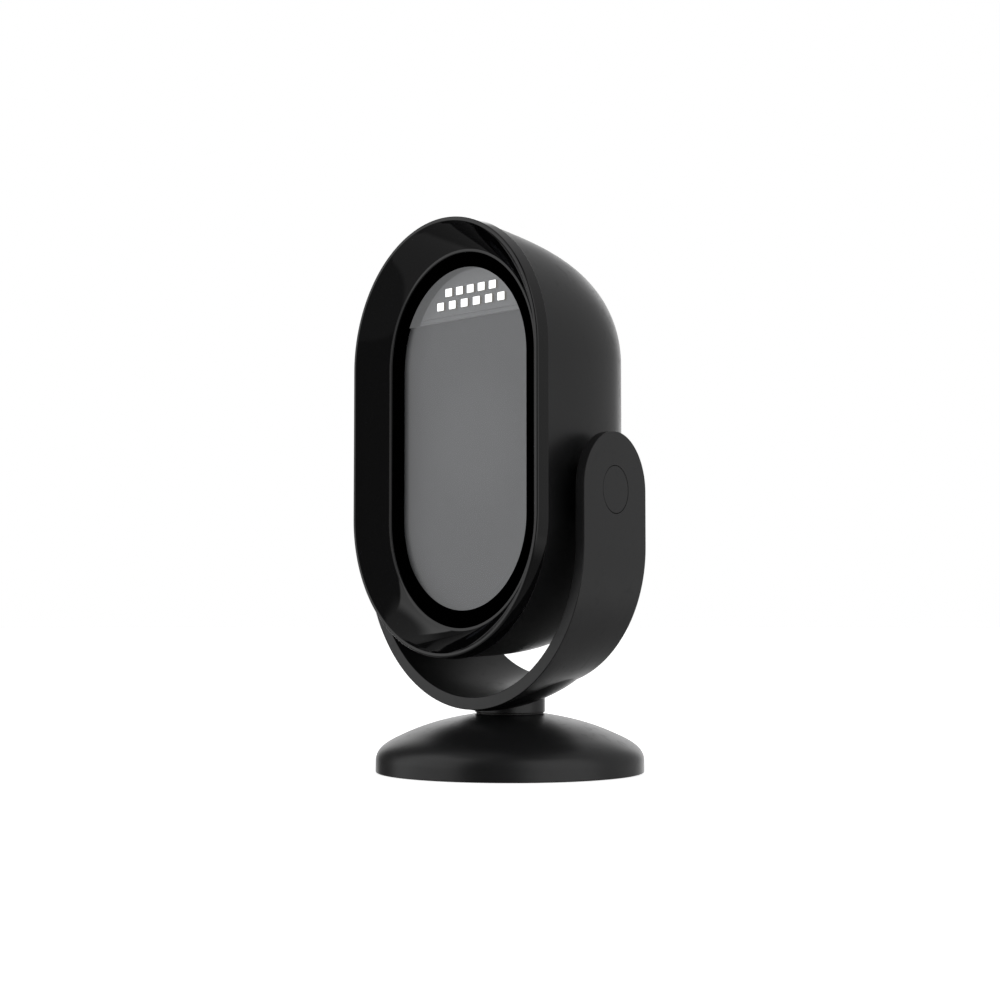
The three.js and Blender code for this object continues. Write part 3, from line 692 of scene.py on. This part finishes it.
def build_foot():
    fit(foot_cover(), "base", MATT, "matt_black", "base_shell")
    fit(foot_plate(), "base", MATT, "matt_black", "base_plate")
    pad = turned("foot_pad", ring_outline(RING_HIGH.x - PAD_WIDTH, RING_HIGH.x, 0, RING_HIGH.z, 0.3))
    fit(pad, "base", RUBBER, "rubber_black", "foot_ring")
    inner = SPIGOT_RADIUS + 0.25
    sleeve = HUB_BORE - 0.15
    seat = COVER_HIGH.z + 0.05
    bush = turned("swivel_sleeve", rounded([
        (inner, BUSH_LOW.z, 0.1), (sleeve, BUSH_LOW.z, 0.1), (sleeve, seat, 0), (BUSH_HIGH.x, seat, 0.1),
        (BUSH_HIGH.x, BUSH_HIGH.z, 0.1), (inner, BUSH_HIGH.z, 0.1),
    ]))
    fit(bush, "base", BUSH, "bush_black", "swivel_bushing")
    shank, length, head, head_height = 1.4, 8, 3.2, 1
    for i, (node, x, y, top) in enumerate(screw_places()):
        place = Matrix.Translation((x, y, top)) @ Matrix.Rotation(math.pi, 4, "X")
        made = screw(f"foot_screw_{i + 1}", shank, length, head, head_height, place)
        fit(made, "base", STEEL, "steel", node)


# ---------------------------------------------------------------- yoke

def band_profile():
    """The band's section as (side, inset, depth, from_inside): side runs -1 to 1 across the width."""
    f = BAND_FILLET
    steps = 6
    bends = [math.pi / 2 * k / steps for k in range(steps + 1)]
    fillet = [(f * (1 - math.sin(b)), f * (1 - math.cos(b))) for b in bends]
    across = [-0.8 + 0.2 * k for k in range(9)]
    profile = [(-1, inset, depth, False) for inset, depth in fillet]
    profile += [(-1, inset, depth, True) for inset, depth in reversed(fillet)]
    profile += [(side, f, 0, True) for side in across]
    profile += [(1, inset, depth, True) for inset, depth in fillet]
    profile += [(1, inset, depth, False) for inset, depth in reversed(fillet)]
    profile += [(side, f, 0, False) for side in reversed(across)]
    return profile


def band_point(station, side, inset, depth, from_inside):
    """A point of the band. A station is (rounding of the arm's end, share up the arm, turn round the U)."""
    rounding, share, turn = station
    reach = BAND_HALF_WIDTH - inset
    y = side * reach * math.cos(rounding)
    thickness = BAND_THICKNESS - BAND_WEDGE * y / BAND_HALF_WIDTH
    inward = thickness - depth if from_inside else depth
    radius = BAND_RADIUS - y * math.tan(TAPER) - inward
    centre = BAND_CENTRE - BAND_SAG * (y + BAND_HALF_WIDTH)
    rise = (reach + ARM_EXTRA) * math.sin(rounding)
    z = centre + share * (PIVOT_HEIGHT - centre) + rise - radius * math.sin(turn)
    return radius * math.cos(turn), y, z


def band():
    ends = [math.pi / 2 * k / 24 for k in range(25)]
    run = [k / 4 for k in range(1, 5)]
    stations = [(rounding, 1, 0) for rounding in reversed(ends[1:])]
    stations += [(0, share, 0) for share in reversed(run)]
    stations += [(0, 0, math.pi * k / 128) for k in range(129)]
    stations += [(0, share, math.pi) for share in run]
    stations += [(rounding, 1, math.pi) for rounding in ends[1:]]
    profile = band_profile()
    return loft("yoke_frame", [[band_point(s, *p) for p in profile] for s in stations], closed=False)


def neck():
    """The neck and the spigot below it. Its top leans, to end inside the band's wall."""
    pilot, pilot_end = 2.65, 17
    spigot_end = BUSH_LOW.z - 0.9
    top = 27.6
    lean = 0.232  # rise of the top per millimetre of depth
    outline = rounded([
        (0, pilot_end, 0), (pilot, pilot_end, 0), (pilot, spigot_end, 0), (SPIGOT_RADIUS, spigot_end, 0.4),
        (SPIGOT_RADIUS, NECK_BOTTOM, 0), (NECK_RADIUS, NECK_BOTTOM, 0.12), (NECK_RADIUS, top, 0), (0, top, 0),
    ])
    made = turned("neck", outline)
    for vertex in made.data.vertices:
        if vertex.co.z > (top - 0.1) * MM:
            vertex.co.z += lean * vertex.co.y
    return made


def inside_of_u():
    """The space inside the U, a little outside the band's inner surface."""
    overlap = 0.4
    outline = [(0, -BAND_HALF_WIDTH)]
    for side in (-1, 1):
        wall = BAND_THICKNESS - BAND_WEDGE * side - overlap
        depth = side * BAND_HALF_WIDTH
        outline.append((BAND_RADIUS - depth * math.tan(TAPER) - wall, depth))
    outline.append((0, BAND_HALF_WIDTH))
    made = moved(turned("inside", outline), ALONG_Y)
    for vertex in made.data.vertices:
        vertex.co.z += (BAND_CENTRE - BAND_SAG * BAND_HALF_WIDTH) * MM - BAND_SAG * vertex.co.y
    return made


def saddle():
    """The flare that runs from the neck into the band's underside. It rises and lengthens to the back."""
    outline = [(0, SADDLE_LOW)]
    for k in range(25):
        out = SADDLE_REACH * k / 24
        outline.append((SADDLE_START + out, SADDLE_LOW + SADDLE_SLOPE * out + SADDLE_CURVE * out * out))
    outline.append((0, outline[-1][1]))
    made = turned("saddle", outline)
    for vertex in made.data.vertices:
        if vertex.co.y > 0:
            vertex.co.y *= SADDLE_STRETCH
        vertex.co.z += SADDLE_LEAN * vertex.co.y
    width = BAND_HALF_WIDTH - BAND_FILLET - 0.1
    slab = prism("slab", [(-40, 0), (40, 0), (40, 60), (-40, 60)], -width, width)
    return combined(combined(made, [slab], "INTERSECT"), [inside_of_u()], "DIFFERENCE")


def pivot_hub():
    """The round boss inside the arm's top. It leans at its far end, to finish inside the arm."""
    sunk = 1.5  # below the arm's outer face
    reach = BAND_RADIUS - sunk - HUB_FACE
    outline = rounded([(0, 0, 0), (HUB_RADIUS, 0, 0.3), (HUB_RADIUS, reach, 0), (0, reach, 0)])
    made = moved(turned("hub", outline, 96), Matrix.Translation((HUB_FACE, 0, PIVOT_HEIGHT)) @ ALONG_X)
    for vertex in made.data.vertices:
        if vertex.co.x > (HUB_FACE + reach / 2) * MM:
            vertex.co.x -= math.tan(TAPER) * vertex.co.y
    return made


def pivot_bore():
    """A cutter from inside the arm to well outside it, wider where the bushing's flange sits."""
    start, end = 30, 60
    outline = [(0, start), (PIVOT_BORE, start), (PIVOT_BORE, COUNTERBORE_FLOOR),
               (COUNTERBORE, COUNTERBORE_FLOOR), (COUNTERBORE, end), (0, end)]
    return moved(turned("bore", outline, 64), TO_PIVOT @ ALONG_X)


def cap_recess():
    wide = CAP_RADIUS + CAP_GROOVE
    depth = 1.6
    return moved(turned("recess", [(0, -depth), (wide, -depth), (wide, 5), (0, 5)], 96), TO_ARM)


def with_mirror(make):
    """A piece and its mirror image."""
    first = make()
    return [first, moved(copied(first, first.name + "_mirrored"), MIRROR)]


def yoke_frame():
    made = combined(band(), [neck(), saddle(), *with_mirror(pivot_hub)], "UNION")
    return combined(made, [*with_mirror(pivot_bore), *with_mirror(cap_recess)], "DIFFERENCE")


def build_yoke():
    fit(yoke_frame(), "yoke", MATT, "matt_black", "yoke_band")
    thickness = 1.3
    disc = [(0, -thickness, 0), (CAP_RADIUS, -thickness, 0.1), (CAP_RADIUS, 0, 0.12), (0, 0, 0)]
    cap = moved(turned("cap", rounded(disc)), TO_ARM)
    inner, outer, flange = 2.15, PIVOT_BORE - 0.15, 5.2
    seat = COUNTERBORE_FLOOR + 0.05
    end = seat + 0.4
    outline = rounded([
        (inner, HUB_FACE, 0.1), (outer, HUB_FACE, 0.15), (outer, seat, 0),
        (flange, seat, 0.1), (flange, end, 0.1), (inner, end, 0.1),
    ])
    sleeve = moved(turned("sleeve", outline, 64), TO_PIVOT @ ALONG_X)
    for side, matrix in (("right", Matrix.Identity(4)), ("left", MIRROR)):
        plug = moved(copied(cap, f"pivot_plug_{side}"), matrix)
        fit(plug, "yoke", MATT, "matt_black", f"pivot_cap_{side}")
        made = moved(copied(sleeve, f"pivot_sleeve_{side}"), matrix)
        fit(made, "yoke", BUSH, "bush_black", f"pivot_bushing_{side}")
    bpy.data.objects.remove(cap)
    bpy.data.objects.remove(sleeve)


# ---------------------------------------------------------------- head

def side_radius(depth, inset=0.0):
    """Radius of the head's stadium section at a depth."""
    share = (depth - HEAD_FRONT) / (HEAD_BACK - inset - HEAD_FRONT)
    side = HEAD_RADIUS - inset - HEAD_DRAFT * (depth - HEAD_FRONT)
    return side * (1 - share ** DEPTH_POWER) ** (1 / RADIUS_POWER)


def shell_curve(inset, start, steps):
    """The rear shell's surface from a depth back to the axis, as (radius, depth) points."""
    length = HEAD_BACK - inset - HEAD_FRONT
    first = math.asin(((start - HEAD_FRONT) / length) ** (DEPTH_POWER / 2))
    points = []
    for i in range(steps + 1):
        angle = first + (math.pi / 2 - first) * i / steps
        depth = HEAD_FRONT + length * math.sin(angle) ** (2 / DEPTH_POWER)
        side = HEAD_RADIUS - inset - HEAD_DRAFT * (depth - HEAD_FRONT)
        points.append((side * max(0.0, math.cos(angle)) ** (2 / RADIUS_POWER), depth))
    return points


def bezel():
    """The glossy front ring: rim, funnel and lip outside, and a tongue inside the rear shell."""
    lip, lip_front, lip_back = 36.0, -22.6, MASK_LOW.y - 0.2
    land = 1.1  # width of the flat round the window
    funnel = bezier([(lip + land, lip_front), (40.8, -25), (45.2, -30.5)], 28)
    rim = 45.45  # inner radius of the front edge
    pocket, skirt_front, skirt_back = MASK_HIGH.x + 0.3, -23.2, -18.6
    skirt = pocket + 1.5
    tongue_back = -20
    outer = side_radius(SEAM)
    inner = side_radius(tongue_back)
    outline = rounded([
        (BEZEL_SIDE, SEAM, 0.15), (outer - 2.4, SEAM, 0),
        (inner - 2.6, tongue_back, 0.2), (inner - 4, tongue_back, 0.2), (outer - 4, SEAM, 0),
        (skirt, skirt_front, 0), (skirt, skirt_back, 0.2), (pocket, skirt_back, 0.2),
        (pocket, lip_back, 0), (lip, lip_back, 0.1), (lip, lip_front, 0.45), *plain(funnel[:-1]),
        (rim, HEAD_FRONT, 0.3), (BEZEL_SIDE, HEAD_FRONT, 0.6),
    ], 6)
    return stadium("bezel", outline, HEAD_DROP)


def rear_housing():
    start = SEAM + 0.15
    outer = shell_curve(0, start, 56)
    inner = shell_curve(SHELL_WALL, start, 36)
    edge = [(inner[0][0], start, 0.15), (outer[0][0], start, 0.15)]
    outline = rounded([*edge, *plain(outer[1:]), *plain(reversed(inner[1:]))])
    shell = stadium("rear_housing", outline, HEAD_DROP)
    root = 35.8
    boss = rounded([(0, root, 0), (BOSS_RADIUS, root, 0), (BOSS_RADIUS, BOSS_FACE, 0.3), (0, BOSS_FACE, 0)])
    bosses = with_mirror(lambda: moved(turned("boss", boss, 96), TO_PIVOT @ ALONG_X))
    shell = combined(shell, bosses, "UNION")
    insert = 3.3
    bore = [(0, 30), (insert, 30), (insert, 60), (0, 60)]
    cutters = with_mirror(lambda: moved(turned("bore", bore, 64), TO_PIVOT @ ALONG_X))
    low, high, gap = SOCKET_LOW, SOCKET_HIGH, 0.3
    opening = rounded_box(low.x - gap, high.x + gap, low.z - gap, high.z + gap, 0.8)
    cutters.append(prism("opening", opening, 10, 40))
    lowest, pitch, half_width, width = HEAD_CENTRE - 26, 3, 5, 1.2
    for i in range(5):
        bottom = lowest + pitch * i
        slot = rounded_box(-half_width, half_width, bottom, bottom + width, width / 2 - 0.01)
        cutters.append(prism(f"slot_{i + 1}", slot, 20, 40))
    return combined(shell, cutters, "DIFFERENCE")


def socket_block():
    """The cable socket: a mouth with a latch notch, and eight contacts inside."""
    low, high = SOCKET_LOW, SOCKET_HIGH
    face = [(low.x, low.z), (high.x, low.z), (high.x, high.z), (low.x, high.z)]
    block = prism("host_socket", face, low.y, high.y, 0.3)
    left, right = low.x + 1.2, high.x - 1.2
    bottom, roof = low.z + 2.4, high.z - 1.2
    notch, notch_depth = 3, 1.3
    mouth = [(left, bottom), (-notch, bottom), (-notch, bottom - notch_depth), (notch, bottom - notch_depth),
             (notch, bottom), (right, bottom), (right, roof), (left, roof)]
    back = low.y + 3
    made = combined(block, [prism("mouth", mouth, back, high.y + 1)], "DIFFERENCE")
    count, pitch = 8, 1.1
    path = [(back, roof - 1.5), (back + 3, roof - 2.6), (back + 6, roof - 0.4), (back + 7, roof - 0.2)]
    contacts = [((i - (count - 1) / 2) * pitch, path) for i in range(count)]
    return made, contacts


def contact_wires(contacts):
    """The socket's contacts: thin round wires, drawn as one curve object turned into a mesh."""
    curve = bpy.data.curves.new("contact_wires", "CURVE")
    curve.dimensions = "3D"
    curve.bevel_depth = 0.17 * MM
    curve.bevel_resolution = 3
    curve.use_fill_caps = True
    for x, path in contacts:
        spline = curve.splines.new("BEZIER")
        spline.bezier_points.add(len(path) - 1)
        for point, (y, z) in zip(spline.bezier_points, path):
            point.co = Vector((x, y, z)) * MM
            point.handle_left_type = "AUTO"
            point.handle_right_type = "AUTO"
    drawn = bpy.data.objects.new("contact_curve", curve)
    bpy.context.scene.collection.objects.link(drawn)
    mesh = bpy.data.meshes.new_from_object(drawn.evaluated_get(bpy.context.evaluated_depsgraph_get()))
    bpy.data.objects.remove(drawn)
    made = bpy.data.objects.new("socket_contacts", mesh)
    bpy.context.scene.collection.objects.link(made)
    return made


def led_lamp(name, node):
    low, high = corners(node)
    outline = rounded_box(low.x, high.x, low.z, high.z, 0.25, 3)
    lamp = prism(name, outline, low.y, high.y, 0.12)
    return fit(lamp, "head", LED, "led_white", node)


def led_cover():
    """The top of the window's stadium, cut straight below.

    Its curved border is set back, and a groove runs along its straight edge.
    """
    upper = HEAD_CENTRE + HEAD_HALF_STRAIGHT
    radius = FILTER_HIGH.x
    first = math.asin((BOARD_LOW.z - upper) / radius)
    steps = 64
    arc = []
    for i in range(steps + 1):
        angle = first + (math.pi - 2 * first) * i / steps
        arc.append((radius * math.cos(angle), upper + radius * math.sin(angle)))
    cover = prism("led_cover", arc, BOARD_LOW.y, BOARD_HIGH.y, 0.15)
    front, groove_depth = BOARD_LOW.y - 1, BOARD_LOW.y + 0.4
    beyond = 40  # outside the cover all round
    curved = stadium("groove", ring_outline(BORDER_INNER, beyond, front, groove_depth, 0.05))
    half_length, low = 29, BOARD_LOW.z + 1.3
    high = low + 0.35
    line = [(-half_length, low), (half_length, low), (half_length, high), (-half_length, high)]
    straight = prism("line", line, front, groove_depth)
    return combined(cover, [curved, straight], "DIFFERENCE")


def plate(name, low, high, edge):
    return stadium(name, slab_outline(high.x, low.y, high.y, edge))


def build_head():
    fit(bezel(), "head", GLOSS, "gloss_black", "front_bezel")
    fit(rear_housing(), "head", MATT, "matt_black", "rear_shell")
    mask = stadium("window_print", ring_outline(BORDER_INNER, MASK_HIGH.x, MASK_LOW.y, MASK_HIGH.y, 0.08))
    fit(mask, "head", PRINT, "mask_black", "window_mask")
    fit(plate("window_glass", PANE_LOW, PANE_HIGH, 0.25), "head", CLEAR, "window_clear", "window_pane")
    fit(plate("grey_filter", FILTER_LOW, FILTER_HIGH, 0.1), "head", FILTER, "filter_grey", "filter_panel")
    fit(led_cover(), "head", COVER, "board_grey", "led_board")
    for i in range(1, 12):
        led_lamp(f"led_lamp_{i:02d}", f"led_{i:02d}")
    block, contacts = socket_block()
    fit(block, "head", PRINT, "mask_black", "cable_socket")
    fit(contact_wires(contacts), "head", BRASS, "brass")


# ---------------------------------------------------------------- pieces that keep their CAD shape

KEPT = {
    "base_weight": STEEL, "friction_washer": BUSH, "stop_washer": STEEL, "spring_washer": STEEL,
    "swivel_screw": STEEL, "optics_frame": MATT, "camera_housing": MATT, "camera_lens": LENS,
    "sensor_board": GREEN, "main_board": GREEN, "processor": BUSH, "beeper": BUSH, "ribbon_cable": RIBBON,
    "pivot_insert_right": BRASS, "pivot_insert_left": BRASS, "pivot_washer_right": BUSH,
    "pivot_washer_left": BUSH, "pivot_screw_right": STEEL, "pivot_screw_left": STEEL,
    "frame_screw_1": STEEL, "frame_screw_2": STEEL, "frame_screw_3": STEEL, "frame_screw_4": STEEL,
}


def paint_kept():
    for name, material in KEPT.items():
        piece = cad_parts[name]
        piece.data.materials.clear()
        piece.data.materials.append(material)


# ---------------------------------------------------------------- stage, light and camera

def compass(azimuth, elevation):
    """The direction at an azimuth, in degrees from +X towards +Y, and an elevation."""
    a, e = math.radians(azimuth), math.radians(elevation)
    return math.cos(a) * math.cos(e), math.sin(a) * math.cos(e), math.sin(e)


def panel(tree, direction, azimuth, elevation, half, blur, strength):
    """A soft-edged panel of light: its middle, half width and height, and blur, in degrees."""
    turn = {"Vector": direction, "Angle": -math.radians(azimuth)}
    ahead = add(tree, "ShaderNodeVectorRotate", turn, rotation_type="Z_AXIS").outputs["Vector"]
    x, y, z = add(tree, "ShaderNodeSeparateXYZ", {"Vector": ahead}).outputs
    side = add(tree, "ShaderNodeMath", {0: y, 1: x}, operation="ARCTAN2").outputs["Value"]
    rise = add(tree, "ShaderNodeMath", {0: z}, operation="ARCSINE").outputs["Value"]
    rise = plus(tree, rise, -math.radians(elevation))
    shares = []
    for angle, reach, fade in zip((side, rise), half, blur):
        away = add(tree, "ShaderNodeMath", {0: angle}, operation="ABSOLUTE").outputs["Value"]
        inside, outside = math.radians(reach - fade / 2), math.radians(reach + fade / 2)
        shares.append(spread(tree, away, 1, 0, inside, outside, "SMOOTHSTEP"))
    return times(tree, times(tree, *shares), strength)


STUDIO = [  # azimuth, elevation, half width and height, blur across and up, strength
    (-121, 24, (36, 35), (3, 13), 0.9),  # tall softbox to the front left
    (3, 18, (33, 38), (8, 20), 0.95),  # tall softbox to the right
    (94, 31, (60, 53), (20, 14), 0.34),  # pale wall behind
    (135, 5, (28, 22), (14, 12), 1.05),  # bright backdrop straight behind
    (-128, 78, (50, 24), (20, 16), 0.18),  # ceiling over the left
    (0, -55, (200, 42), (1, 4), 0.06),  # ground all round
    (-122, -50, (34, 38), (8, 10), 0.14),  # ground lit by the left softbox
]
AMBIENT = 0.09


def studio_world():
    world = bpy.data.worlds.new("studio")
    bpy.context.scene.world = world
    world.use_nodes = True
    tree = world.node_tree
    tree.nodes.clear()
    direction = add(tree, "ShaderNodeTexCoord").outputs["Generated"]
    light = AMBIENT
    for lamp in STUDIO:
        light = plus(tree, light, panel(tree, direction, *lamp))
    seen = add(tree, "ShaderNodeLightPath").outputs["Is Camera Ray"]
    mix = add(tree, "ShaderNodeMix", {"Factor": seen, "A": light, "B": 1.0}, data_type="FLOAT")
    strength = mix.outputs["Result"]
    background = add(tree, "ShaderNodeBackground", {"Color": (1, 1, 1, 1), "Strength": strength})
    add(tree, "ShaderNodeOutputWorld", {"Surface": background.outputs["Background"]})


def floor():
    """A wide pale floor that runs out to the white backdrop."""
    reach, top, bottom = 6000, -0.06, -3
    made = turned("floor", [(0, top), (reach, top), (reach, bottom), (0, bottom)], 96)
    material, tree, place = new_tree("pale_floor")
    cloud = noise(tree, place, 60, 3)
    grey = tint(tree, cloud, (0.5,) * 3, (0.54,) * 3)
    matt = add(tree, "ShaderNodeBsdfDiffuse", {"Color": grey}).outputs["BSDF"]
    paper = add(tree, "ShaderNodeEmission", {"Color": (1, 1, 1, 1), "Strength": 0.8}).outputs["Emission"]
    white = add(tree, "ShaderNodeBsdfDiffuse", {"Color": (0.9, 0.9, 0.9, 1)}).outputs["BSDF"]
    lit = add(tree, "ShaderNodeAddShader", {0: paper, 1: white}).outputs["Shader"]
    seen = add(tree, "ShaderNodeLightPath").outputs["Is Camera Ray"]
    surface(tree, add(tree, "ShaderNodeMixShader", {0: seen, 1: matt, 2: lit}).outputs["Shader"])
    made.data.materials.append(material)
    made.visible_glossy = False


def camera():
    place = Vector((475.8, -431.4, 53.2)) * MM
    look = Vector(compass(138.1, 3.4))
    data = bpy.data.cameras.new("camera")
    data.lens = 68.436
    data.sensor_width = 36
    made = bpy.data.objects.new("camera", data)
    made.location = place
    made.rotation_euler = look.to_track_quat("-Z", "Y").to_euler()
    bpy.context.scene.collection.objects.link(made)
    bpy.context.scene.camera = made


build_foot()
build_yoke()
build_head()
paint_kept()
studio_world()
floor()
camera()
bpy.context.scene.view_settings.view_transform = "Standard"
